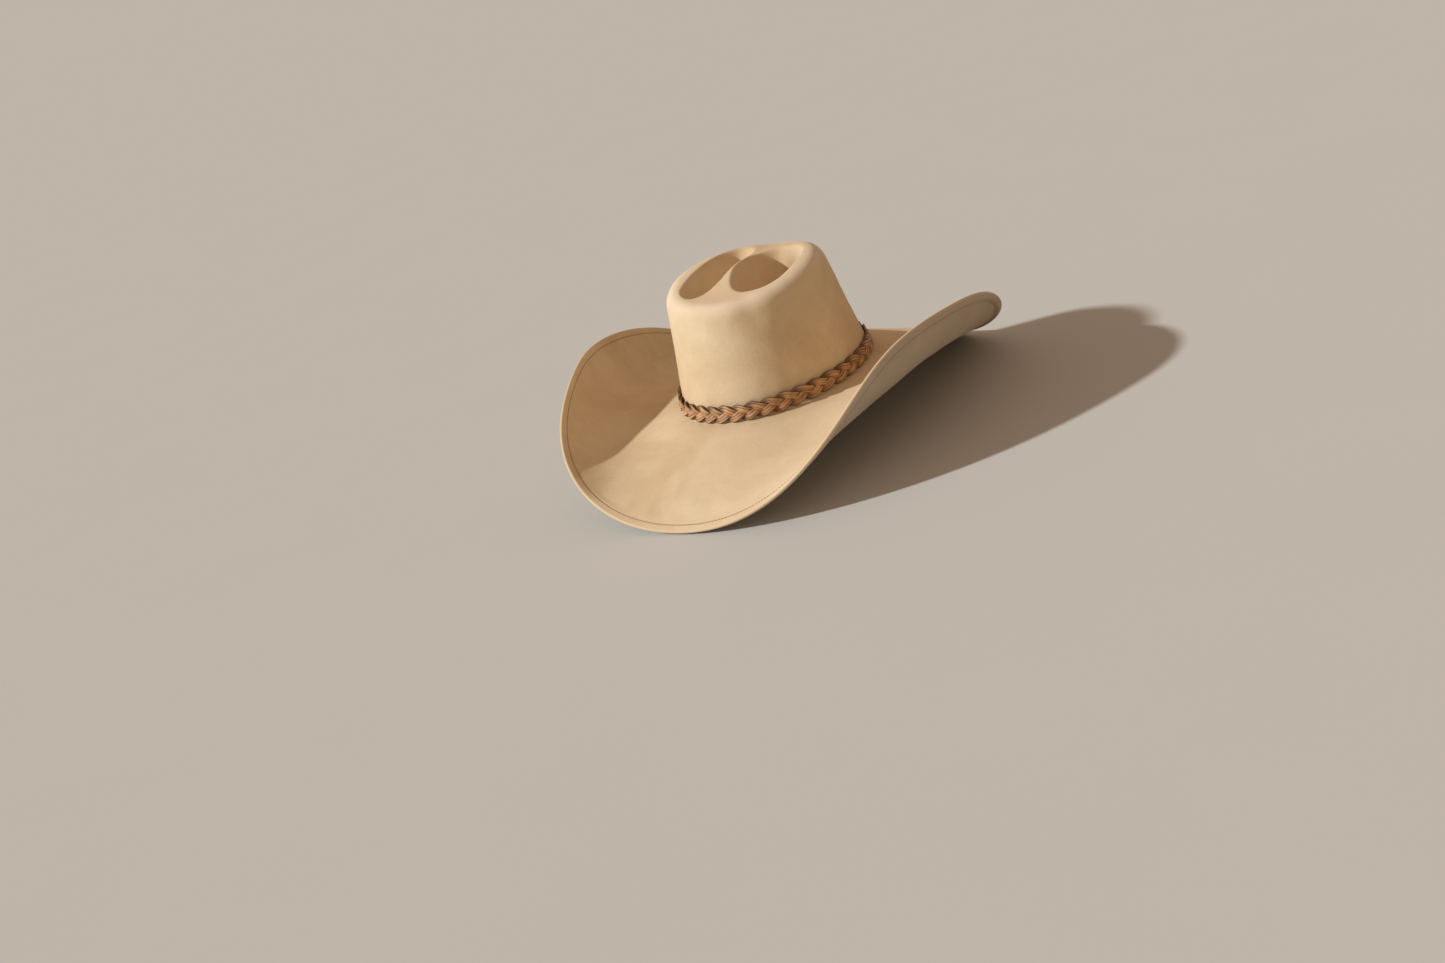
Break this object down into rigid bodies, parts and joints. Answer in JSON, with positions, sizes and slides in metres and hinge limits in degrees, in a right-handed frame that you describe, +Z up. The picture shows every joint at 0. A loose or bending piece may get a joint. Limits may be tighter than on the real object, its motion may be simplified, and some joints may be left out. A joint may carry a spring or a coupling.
{
  "type": "cowboy hat",
  "caption": "Western felt hat with a deeply curled brim, a crown creased into two long pits, a braided leather band that lifts off, and a lined inside with a leather sweatband.",
  "frame": {"origin": "centre of the hat's box, on the surface that its brim's front and back dips rest on", "axes": "+Z up out of the crown, -Y towards the front of the hat, +X towards the wearer's left"},
  "size_m": [0.387, 0.425, 0.164],
  "materials": {
    "felt": "brushed fur felt, matt, cream to tan",
    "edge_thread": "brown sewing thread",
    "braid_leather": "oiled saddle leather, half matt",
    "band_thread": "waxed linen thread",
    "sweat_leather": "smooth roan leather",
    "reed_plastic": "natural plastic",
    "tape": "woven tape",
    "satin": "satin",
    "ribbon": "grosgrain ribbon",
    "clear_plastic": "clear, glossy"
  },
  "bodies": {
    "hat": {"felt_body": "felt", "brim_stitch_upper": "edge_thread", "brim_stitch_under": "edge_thread", "sweatband": "sweat_leather", "sweatband_reed": "reed_plastic", "reed_tape": "tape", "sweatband_stitch": "edge_thread", "sweatband_back_seam": "edge_thread", "sweatband_bow": "ribbon", "bow_knot": "ribbon", "liner_side": "satin", "liner_tip": "satin", "liner_piping": "satin", "tip_shield": "clear_plastic"},
    "hat_band": {"band_strand_1": "braid_leather", "band_strand_2": "braid_leather", "band_strand_3": "braid_leather", "band_keeper": "braid_leather", "keeper_stitch": "band_thread"}
  },
  "joints": [
    {"name": "band_lift", "type": "slide", "parent": "hat", "child": "hat_band", "axis": [0, 0, 1], "range_m": [0, 0.125]}
  ]
}
